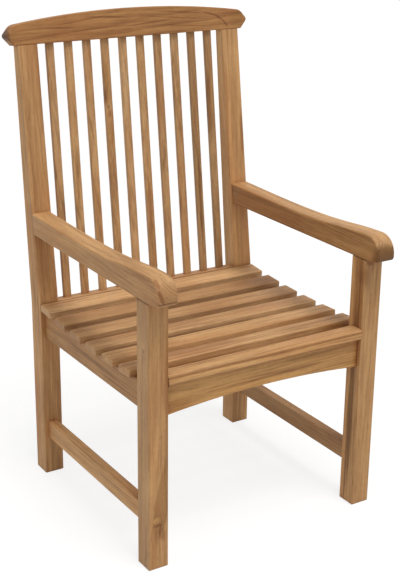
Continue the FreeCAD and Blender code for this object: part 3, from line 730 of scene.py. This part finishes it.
def wood_material(
    name, along, centre, seed, tone="plain", pith=(0.09, 0.12), leans=False, knots=(),
    patches=(), upper_edges_dark=0.0, dirt_and_shade=1.0, **figure
):
    """Return the wood of a board along an axis through a centre, or of slats if it has none."""
    look = wood()
    material = bpy.data.materials.new(name)
    tree = empty_tree(material)
    turn, direction = TURNS[along]
    where = add(tree, "ShaderNodeTexCoord")["Object"]
    grain_place, heart = where, 0.0
    for knot in knots:
        grain_place, heart = pushed_aside(where, grain_place, heart, *knot)
    if leans:
        grain_place = straightened(grain_place)
    if centre is None:
        centre = (0, 0, 0)
        own = attribute(tree, "slat_centre", "Vector")
        grain_place = vectors("SUBTRACT", grain_place, own)
        tint = attribute(tree, "slat_tint", "Color")
        seed = plus(attribute(tree, "slat_number", "Fac"), seed)
    else:
        tint = (*TONES[tone], 1)
    feeds = {"Vector": grain_place, "Location": centre, "Rotation": turn}
    board = add(tree, "ShaderNodeMapping", feeds, vector_type="TEXTURE")["Vector"]
    values = {
        "Vector": board, "Grain Direction": direction, "Pith": (*pith, 0), "Seed": seed,
        "Pale": (*look.pale, 1), "Deep": (*look.deep, 1), "Ruddy": (*look.ruddy, 1), "Tint": tint,
    }
    for label in GRAIN_SETTINGS:
        setting = label.lower().replace(" ", "_")
        values[label] = figure.get(setting, getattr(look, setting))
    grain = effect("Wood Grain", values)
    shade = grain["Color"]
    for patch in patches:
        shade = patched(where, shade, *patch)
    shade = mixed(heart, shade, (*look.knot, 1))
    # Upper edges paler with use and painted highlight, other edges darker with soil and painted
    # shade, and joints darkened by painted shade
    shade = worn_and_shaded(where, shade, upper_edges_dark, dirt_and_shade)
    feeds = {"Height": grain["Height"], "Distance": look.relief, "Strength": RELIEF_STRENGTH}
    bump = add(tree, "ShaderNodeBump", feeds)["Normal"]
    feeds = {"Base Color": shade, "Roughness": grain["Roughness"], "Normal": bump}
    shader = add(tree, "ShaderNodeBsdfPrincipled", feeds)
    add(tree, "ShaderNodeOutputMaterial", {"Surface": shader["BSDF"]})
    return material


# Pieces
def middle(node):
    """Return the middle of a CAD node."""
    low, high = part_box(node)
    return (low + high) / 2


def linked(name, data):
    """Return a new object in the scene."""
    made = bpy.data.objects.new(name, data)
    bpy.context.scene.collection.objects.link(made)
    return made


def filled(mesh, work):
    """Return a mesh that has taken over work that is done."""
    work.to_mesh(mesh)
    work.free()
    return mesh


def shade_softly(mesh):
    """Shade a mesh smoothly, apart from its sharp edges."""
    mesh.shade_smooth()
    mesh.set_sharp_from_angle(angle=SHARP_ANGLE)


def clothe(mesh, material):
    """Give a mesh its only material."""
    mesh.materials.clear()
    mesh.materials.append(material)


def place_piece(piece, material, nodes):
    """Give a piece its material, hide the CAD nodes that it stands for, and hang it on the root.
    """
    clothe(piece.data, material)
    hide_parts(*nodes)
    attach(piece, "root")


def finished_copy(node, material):
    """Replace a CAD node with a copy whose rounded edges are shaded smoothly."""
    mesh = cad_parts[node].data.copy()
    work = bmesh.new()
    work.from_mesh(mesh)
    bmesh.ops.remove_doubles(work, verts=work.verts, dist=MERGE_DISTANCE)
    mesh.name = name = node + "_finished"
    shade_softly(filled(mesh, work))
    piece = linked(name, mesh)
    even = piece.modifiers.new("Even Shading", "WEIGHTED_NORMAL")
    even.keep_sharp = True
    place_piece(piece, material, [node])


def features(node):
    """Return what is special about a board."""
    return {"patches": MARKS.get(node, ()), **BOARDS.get(node, {})}


def finish_boards(nodes, along, first_seed):
    """Finish like boards, each in its own wood."""
    for seed, node in enumerate(nodes, first_seed):
        material = wood_material(node + "_wood", along, middle(node), seed, **features(node))
        finished_copy(node, material)


def eased_block(name, size, radius, axis=None):
    """Return a block about the origin whose edges, or those along one axis, are rounded."""
    work = bmesh.new()
    bmesh.ops.create_cube(work, size=1.0)
    bmesh.ops.scale(work, vec=size, verts=work.verts)
    edges = []
    for edge in work.edges:
        direction = (edge.verts[1].co - edge.verts[0].co).normalized()
        if axis is None or abs(direction.dot(axis)) > PARALLEL:
            edges.append(edge)
    bmesh.ops.bevel(
        work, geom=edges, offset=radius, offset_type="OFFSET", segments=EASING_SEGMENTS,
        profile=ROUND_PROFILE, affect="EDGES",
    )
    return linked(name, filled(bpy.data.meshes.new(name), work))


def slat_tree(name, inputs):
    """Return a new tree of geometry nodes, what it is given and what it puts out."""
    geometry = {"Geometry": ("Geometry",)}
    given = {**geometry, "Object": ("Slat",), "Int": ("Count",), **inputs}
    return new_tree(name, "GeometryNodeTree", given, geometry)


def stored(tree, geometry, name, kind, value):
    """Return the geometry with a named attribute stored on its points."""
    feeds = {"Geometry": geometry, "Name": name, "Value": value}
    kinds = {"data_type": kind, "domain": "POINT"}
    return add(tree, "GeometryNodeStoreNamedAttribute", feeds, **kinds)["Geometry"]


def repeated(tree, blank, count):
    """Return real copies of a blank, each with its number from 0 stored as slat_number."""
    points = add(tree, "GeometryNodePoints", {"Count": count})["Points"]
    index = add(tree, "GeometryNodeInputIndex")["Index"]
    points = stored(tree, points, "slat_number", "FLOAT", index)
    source = add(tree, "GeometryNodeObjectInfo", {"Object": blank})["Geometry"]
    feeds = {"Points": points, "Instance": source}
    copies = add(tree, "GeometryNodeInstanceOnPoints", feeds)["Instances"]
    return add(tree, "GeometryNodeRealizeInstances", {"Geometry": copies})["Geometry"]


def number_of(tree):
    """Return the number of the slat that each point belongs to."""
    feeds = {"Name": "slat_number"}
    return add(tree, "GeometryNodeInputNamedAttribute", feeds, data_type="FLOAT")["Attribute"]


def close_tree(tree, result, copies, centre, position, material):
    """Store the slats' centres, move the slats into place and give them a material."""
    copies = stored(tree, copies, "slat_centre", "FLOAT_VECTOR", centre)
    feeds = {"Geometry": copies, "Position": position}
    placed = add(tree, "GeometryNodeSetPosition", feeds)["Geometry"]
    feeds = {"Geometry": placed, "Material": material}
    feed(result["Geometry"], add(tree, "GeometryNodeSetMaterial", feeds)["Geometry"])
    return tree


def made_by_nodes(name, tree, values):
    """Return the plain mesh object that a tree of geometry nodes makes of some values."""
    piece = linked(name, bpy.data.meshes.new(name + "_start"))
    modifier = piece.modifiers.new(name, "NODES")
    modifier.node_group = tree
    for item in tree.interface.items_tree:
        if item.in_out == "INPUT" and item.name in values:
            modifier[item.identifier] = values[item.name]
    graph = bpy.context.evaluated_depsgraph_get()
    mesh = bpy.data.meshes.new_from_object(piece.evaluated_get(graph), depsgraph=graph)
    mesh.name = name
    piece.modifiers.remove(modifier)
    piece.data = mesh
    shade_softly(mesh)
    return piece


def tint_slats(piece, tones):
    """Store the tone of each slat on its points."""
    mesh = piece.data
    numbers = [0.0] * len(mesh.vertices)
    mesh.attributes["slat_number"].data.foreach_get("value", numbers)
    tints = []
    for number in numbers:
        tints.extend((*TONES[tones[round(number) % len(tones)]], 1))
    stored_tints = mesh.attributes.new("slat_tint", "FLOAT_COLOR", "POINT")
    stored_tints.data.foreach_set("color", tints)


def finish_slats(stem, count, along, seed, blank, tree_of, values):
    """Make a group of slats from a blank, and let it stand for their CAD nodes."""
    name = stem + "s"
    material = wood_material(stem + "_wood", along, None, seed, **features(name))
    piece = made_by_nodes(name, tree_of(material), {"Slat": blank, "Count": count, **values})
    tint_slats(piece, SLAT_TONES[name])
    bpy.data.objects.remove(blank)
    nodes = ["{}_{:02d}".format(stem, number + 1) for number in range(count)]
    place_piece(piece, material, nodes)


def back_slat_tree(material):
    """Return the tree that stands slats between the lower rail and the crest rail."""
    inputs = {"Float": ("Foot Span", "Head Span", "Crest Slope"), "Vector": ("Foot", "Head")}
    tree, given, result = slat_tree("Back Slats", inputs)
    foot, head = given["Foot"], given["Head"]
    foot_span, head_span = given["Foot Span"], given["Head Span"]
    copies = repeated(tree, given["Slat"], given["Count"])
    side = minus(over(number_of(tree), minus(given["Count"], 1)), 0.5)
    own = parts_of(add(tree, "GeometryNodeInputPosition")[0])
    up = plus(own["Z"], 0.5)

    # The slats draw together towards the crest rail, whose sloping underside their heads follow
    span = times_plus(up, minus(head_span, foot_span), foot_span)
    line = vectors("ADD", foot, scaled(vectors("SUBTRACT", head, foot), up))
    drop = times(times(own["Y"], given["Crest Slope"]), up)
    across = times_plus(side, span, own["X"])
    moved = joined(X=across, Y=own["Y"], Z=times(drop, -1))
    half_way = vectors("MULTIPLY", vectors("ADD", foot, head), HALF)
    mean_span = times(plus(foot_span, head_span), 0.5)
    centre = vectors("ADD", half_way, joined(X=times(side, mean_span)))
    position = vectors("ADD", line, moved)
    return close_tree(tree, result, copies, centre, position, material)


def seat_slat_tree(material):
    """Return the tree that lays slats along the dish of the seat, from its rear."""
    inputs = ("Width", "Thickness", "Front", "Rear", "Low Depth", "Low Height", "Radius")
    tree, given, result = slat_tree("Seat Slats", {"Float": inputs})
    width, radius = given["Width"], given["Radius"]
    copies = repeated(tree, given["Slat"], given["Count"])
    between = minus(minus(given["Rear"], given["Front"]), width)
    pitch = over(between, minus(given["Count"], 1))
    rear = minus(given["Rear"], times(number_of(tree), pitch))
    front = minus(rear, width)

    def dish(depth):
        """Return the height of the seat's surface at a depth."""
        offset = minus(depth, given["Low Depth"])
        squares = minus(times(radius, radius), times(offset, offset))
        top = plus(given["Low Height"], radius)
        return minus(top, maths("SQRT", squares))

    front_height, rear_height = dish(front), dish(rear)
    tilt = maths("ARCTAN2", minus(rear_height, front_height), width)
    mean_depth = times(plus(front, rear), 0.5)
    mean_height = times(plus(front_height, rear_height), 0.5)
    half = times(given["Thickness"], 0.5)
    centre = joined(Y=mean_depth, Z=minus(mean_height, half))
    feeds = {"Vector": add(tree, "GeometryNodeInputPosition")[0], "Angle": tilt}
    turned = add(tree, "ShaderNodeVectorRotate", feeds, rotation_type="X_AXIS")[0]
    position = vectors("ADD", turned, centre)
    return close_tree(tree, result, copies, centre, position, material)


class ARMCHAIR_OT_legs(bpy.types.Operator):
    """Finish the four legs"""

    bl_idname = "armchair.legs"
    bl_label = "Legs"

    def execute(self, context):
        nodes = ("front_leg_left", "front_leg_right", "rear_leg_left", "rear_leg_right")
        finish_boards(nodes, "Z", first_seed=5)
        return {"FINISHED"}


class ARMCHAIR_OT_rails(bpy.types.Operator):
    """Finish the seat rails, the stretchers, the apron and the lower back rail"""

    bl_idname = "armchair.rails"
    bl_label = "Rails and stretchers"

    def execute(self, context):
        side_rails = (
            "side_seat_rail_left", "side_seat_rail_right",
            "side_stretcher_left", "side_stretcher_right",
        )
        finish_boards(side_rails, "Y", first_seed=11)
        finish_boards(("front_apron", "lower_back_rail"), "X", first_seed=15)
        return {"FINISHED"}


class ARMCHAIR_OT_armrests(bpy.types.Operator):
    """Finish the armrests"""

    bl_idname = "armchair.armrests"
    bl_label = "Armrests"

    def execute(self, context):
        finish_boards(("armrest_left", "armrest_right"), "Y", first_seed=21)
        return {"FINISHED"}


class ARMCHAIR_OT_crest_rail(bpy.types.Operator):
    """Finish the crest rail"""

    bl_idname = "armchair.crest_rail"
    bl_label = "Crest rail"

    def execute(self, context):
        finish_boards(("crest_rail",), "X", first_seed=31)
        return {"FINISHED"}


class ARMCHAIR_OT_back_slats(bpy.types.Operator):
    """Make the slats of the back"""

    bl_idname = "armchair.back_slats"
    bl_label = "Back slats"

    def execute(self, context):
        sizes = slats()
        size = (sizes.back_width, sizes.back_thickness, 1)
        blank = eased_block("back_slat_blank", size, sizes.back_easing, Z_AXIS)
        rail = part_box("lower_back_rail")[1]
        slope = math.tan(sizes.back_rake)
        inset = sizes.crest_depth / 2
        rise = sizes.crest_height - sizes.bend_height
        head_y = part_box("rear_leg_left")[0].y + rise * slope + inset
        foot_y = rail.y - sizes.back_rear_wall - sizes.back_thickness / 2
        values = {
            "Foot Span": sizes.back_foot_span,
            "Head Span": sizes.back_head_span,
            "Foot": (0, foot_y, rail.z),
            "Head": (0, head_y, sizes.crest_height - inset * slope),
            "Crest Slope": slope,
        }
        finish_slats(
            "back_slat", sizes.back_count, "Z", seed=41,
            blank=blank, tree_of=back_slat_tree, values=values,
        )
        return {"FINISHED"}


class ARMCHAIR_OT_seat_slats(bpy.types.Operator):
    """Make the slats of the seat, and finish the front one"""

    bl_idname = "armchair.seat_slats"
    bl_label = "Seat slats"

    def execute(self, context):
        sizes = slats()
        low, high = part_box("seat_slat_01")
        size = (high.x - low.x, sizes.seat_width, sizes.seat_thickness)
        blank = eased_block("seat_slat_blank", size, sizes.seat_easing)
        front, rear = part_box("front_leg_left"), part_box("rear_leg_left")
        values = {
            "Width": sizes.seat_width,
            "Thickness": sizes.seat_thickness,
            "Front": front[1].y + sizes.seat_front_gap,
            "Rear": rear[0].y - sizes.seat_rear_gap,
            "Low Depth": front[0].y + sizes.dish_setback,
            "Low Height": sizes.dish_height,
            "Radius": sizes.dish_radius,
        }
        finish_slats(
            "seat_slat", sizes.seat_count, "X", seed=61,
            blank=blank, tree_of=seat_slat_tree, values=values,
        )
        node = "front_seat_slat"
        material = wood_material("front_slat_wood", "X", middle(node), seed=71, **features(node))
        finished_copy(node, material)
        return {"FINISHED"}


class ARMCHAIR_OT_pins(bpy.types.Operator):
    """Finish the pegs and dowels"""

    bl_idname = "armchair.pins"
    bl_label = "Pegs and dowels"

    def execute(self, context):
        groups = {
            "side_rail_pegs": "X", "apron_pegs": "Y", "back_rail_pegs": "Y",
            "seat_slat_dowels": "Z", "front_slat_dowels": "Z",
        }
        for seed, (node, along) in enumerate(groups.items(), start=81):
            material = wood_material(node + "_wood", along, middle(node), seed)
            clothe(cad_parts[node].data, material)
        return {"FINISHED"}


def lamp(name, kind, power, tint):
    """Hang a lamp and return it."""
    made = linked(name, bpy.data.lights.new(name, kind))
    made.data.energy = power
    made.data.color = tint
    return made


def pointed(direction):
    """Return the turn that points a lamp in a direction."""
    return Vector(direction).to_track_quat("-Z", "Y").to_euler()


def seen_directly(tree):
    """Return 1 for what a camera or a reflection sees, and 0 for what only gives light."""
    path = add(tree, "ShaderNodeLightPath")
    return larger(path["Is Camera Ray"], path["Is Glossy Ray"])


def floor_material():
    """Return a matt finish that a camera sees as nearly white, apart from shadows."""
    look = stage()
    material = bpy.data.materials.new("floor")
    tree = empty_tree(material)
    seen = seen_directly(tree)
    shown = [look.floor_shade * value for value in look.floor_colour]
    tint = mixed(seen, (*look.floor_colour, 1), (*shown, 1))
    matt = add(tree, "ShaderNodeBsdfDiffuse", {"Color": tint})
    glow = add(tree, "ShaderNodeEmission", {"Strength": times(seen, look.floor_glow)})
    both = add(tree, "ShaderNodeAddShader", {0: matt[0], 1: glow[0]})
    add(tree, "ShaderNodeOutputMaterial", {"Surface": both[0]})
    return material


def light_world():
    """Light the scene evenly, and show the world as white."""
    even = stage().sky_strength
    world = bpy.data.worlds.new("studio")
    bpy.context.scene.world = world
    tree = empty_tree(world)
    brightness = times_plus(seen_directly(tree), 1 - even, even)
    sky = add(tree, "ShaderNodeBackground", {"Color": (1, 1, 1, 1), "Strength": brightness})
    add(tree, "ShaderNodeOutputWorld", {"Surface": sky[0]})


class ARMCHAIR_OT_stage(bpy.types.Operator):
    """Lay the floor, hang the lamps and set the camera"""

    bl_idname = "armchair.stage"
    bl_label = "Studio"

    def execute(self, context):
        look = stage()
        work = bmesh.new()
        bmesh.ops.create_grid(work, x_segments=1, y_segments=1, size=look.floor_size / 2)
        floor = linked("floor", filled(bpy.data.meshes.new("floor"), work))
        clothe(floor.data, floor_material())
        light_world()
        key = lamp("key_lamp", "SUN", look.key_strength, look.key_colour)
        key.data.angle = look.key_softness
        key.rotation_euler = pointed(look.key_direction)
        side = lamp("side_lamp", "AREA", look.side_power, look.side_colour)
        side.data.size = look.side_size
        side.location = look.side_place
        side.rotation_euler = pointed((CAD_BOUNDS[0] + CAD_BOUNDS[1]) / 2 - side.location)
        camera = linked("camera", bpy.data.cameras.new("camera"))
        camera.data.lens = look.camera_lens
        turned = Matrix.Rotation(look.camera_turn, 4, "Z")
        tilted = turned @ Matrix.Rotation(math.pi / 2 - look.camera_tilt, 4, "X")
        rolled = tilted @ Matrix.Rotation(look.camera_roll, 4, "Z")
        camera.matrix_world = Matrix.Translation(look.camera_place) @ rolled
        context.scene.camera = camera
        context.scene.view_settings.view_transform = "Standard"
        return {"FINISHED"}


class ARMCHAIR_PT_panel(bpy.types.Panel):
    """Sidebar panel that lists the armchair's pieces and settings"""

    bl_idname = "ARMCHAIR_PT_panel"
    bl_label = "Armchair"
    bl_space_type = "VIEW_3D"
    bl_region_type = "UI"
    bl_category = "Armchair"

    def draw(self, context):
        for operator in OPERATORS:
            self.layout.operator(operator.bl_idname)
        for settings in (wood(), slats(), stage()):
            column = self.layout.column()
            for name in settings.__annotations__:
                column.prop(settings, name)


GROUPS = {
    "armchair_wood": ArmchairWood,
    "armchair_slats": ArmchairSlats,
    "armchair_stage": ArmchairStage,
}
OPERATORS = (
    ARMCHAIR_OT_stage, ARMCHAIR_OT_legs, ARMCHAIR_OT_rails, ARMCHAIR_OT_armrests,
    ARMCHAIR_OT_crest_rail, ARMCHAIR_OT_back_slats, ARMCHAIR_OT_seat_slats, ARMCHAIR_OT_pins,
)


def register():
    """Add the settings, the operators and the panel."""
    for kind in (*GROUPS.values(), *OPERATORS, ARMCHAIR_PT_panel):
        bpy.utils.register_class(kind)
    for name, kind in GROUPS.items():
        setattr(bpy.types.Scene, name, PointerProperty(type=kind))


def unregister():
    """Remove the settings, the operators and the panel."""
    for name in GROUPS:
        delattr(bpy.types.Scene, name)
    for kind in (ARMCHAIR_PT_panel, *OPERATORS, *GROUPS.values()):
        bpy.utils.unregister_class(kind)


def main():
    """Make the whole scene."""
    register()
    for name in ("Cube", "Light", "Camera"):
        if name in bpy.data.objects:
            bpy.data.objects.remove(bpy.data.objects[name])
    for operator in OPERATORS:
        package, name = operator.bl_idname.split(".")
        getattr(getattr(bpy.ops, package), name)()


if __name__ == "__main__":
    main()
